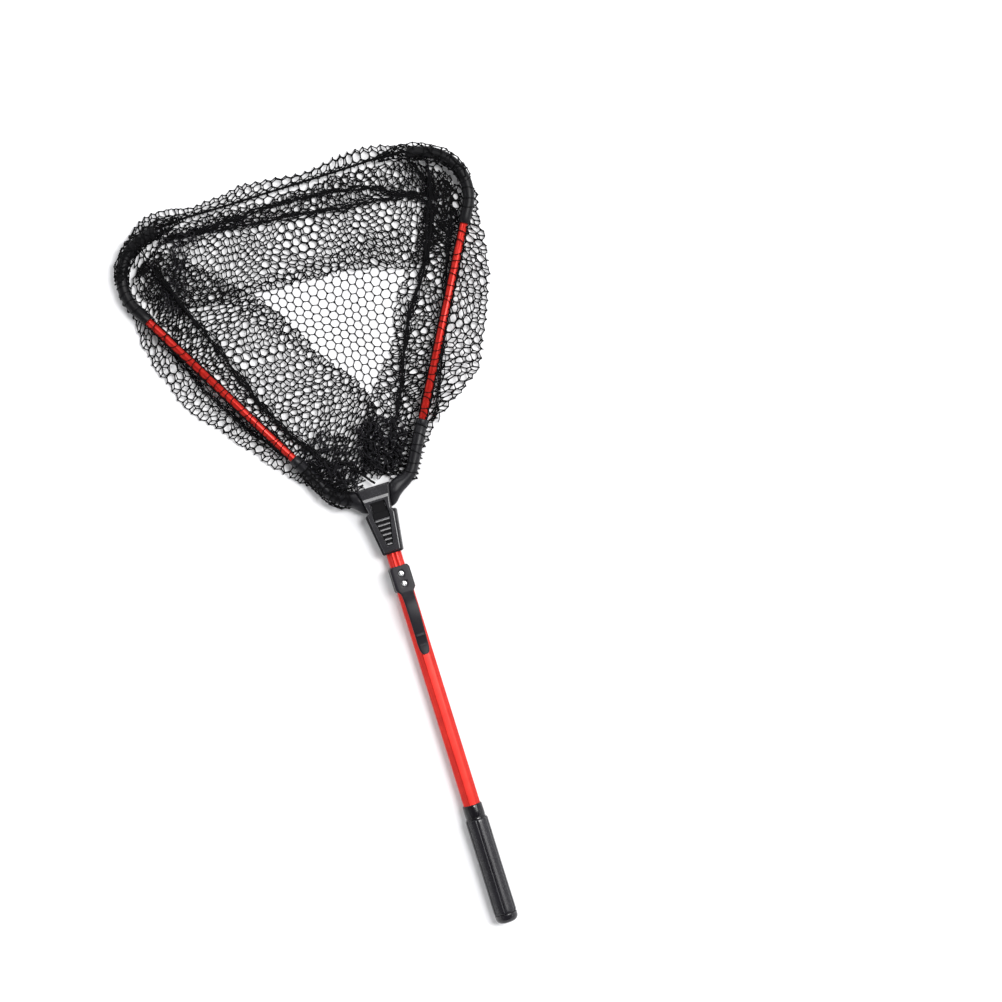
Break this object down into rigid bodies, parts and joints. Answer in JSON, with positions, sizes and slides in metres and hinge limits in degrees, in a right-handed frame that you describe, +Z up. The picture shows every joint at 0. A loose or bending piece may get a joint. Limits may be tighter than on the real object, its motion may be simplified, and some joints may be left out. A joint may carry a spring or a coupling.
{
  "type": "folding landing net",
  "caption": "Triangular folding landing net with hinged arms, a collapsed mesh bag, a moulded yoke with a thumb lock, and a telescopic red handle with belt clip and ribbed grip.",
  "frame": {"origin": "under the middle of the whole net's box, on the surface that it lies on", "axes": "+Y along the handle from the grip towards the hoop, +Z up out of the hoop, +X to the right"},
  "size_m": [0.385, 0.801, 0.0304],
  "materials": {
    "black_nylon": "satin moulded",
    "black_grip": "ribbed moulded",
    "gloss_black": "polished",
    "red_aluminium": "red anodised",
    "bright_steel": "bright zinc plated",
    "spring_steel": "drawn wire",
    "cord": "braided nylon",
    "net": "knotless nylon mesh"
  },
  "bodies": {
    "handle": {"outer_tube": "red_aluminium", "throat_block": "black_nylon", "belt_clip": "black_nylon", "clip_screw_front": "bright_steel", "clip_screw_rear": "bright_steel", "grip_collar": "gloss_black", "grip_sleeve": "black_grip", "grip_end_cap": "gloss_black"},
    "head": {"inner_tube": "red_aluminium", "slide_bush": "black_nylon", "yoke_body": "black_nylon", "yoke_cover": "black_nylon", "lock_spring": "spring_steel", "hinge_pin_left": "spring_steel", "hinge_pin_right": "spring_steel"},
    "lock": {"lock_slider": "black_nylon", "lock_bar": "spring_steel"},
    "arm_left": {"arm_root_left": "black_nylon", "arm_tube_left": "red_aluminium", "arm_rivet_left": "bright_steel", "corner_bow_left": "black_nylon"},
    "arm_right": {"arm_root_right": "black_nylon", "arm_tube_right": "red_aluminium", "arm_rivet_right": "bright_steel", "corner_bow_right": "black_nylon"},
    "net": {"net_bag": "net", "front_cord": "cord"}
  },
  "joints": [
    {"name": "handle_extend", "type": "slide", "parent": "handle", "child": "head", "axis": [0, 1, 0], "range_m": [0, 0.28]},
    {"name": "lock_slide", "type": "slide", "parent": "head", "child": "lock", "axis": [0, 1, 0], "range_m": [0, 0.005], "stiffness_N_per_m": 400, "springref_m": -0.004, "deforming": ["lock_spring"]},
    {"name": "arm_left_fold", "type": "hinge", "parent": "head", "child": "arm_left", "pos_m": [-0.01356, 0.05861, 0.01175], "axis": [-0.9732, -0.23, 0], "range_deg": [0, 176], "deforming": ["net_bag", "front_cord"]},
    {"name": "arm_right_fold", "type": "hinge", "parent": "head", "child": "arm_right", "pos_m": [0.01356, 0.05861, 0.01175], "axis": [-0.9732, 0.23, 0], "range_deg": [0, 172]},
    {"name": "net_fold", "type": "hinge", "parent": "head", "child": "net", "pos_m": [0, 0.04875, -0.001], "axis": [-1, 0, 0], "range_deg": [0, 176]}
  ],
  "couplings": [
    {"joint": "arm_right_fold", "follows": "arm_left_fold", "ratio": 0.977},
    {"joint": "net_fold", "follows": "arm_left_fold", "ratio": 1}
  ]
}
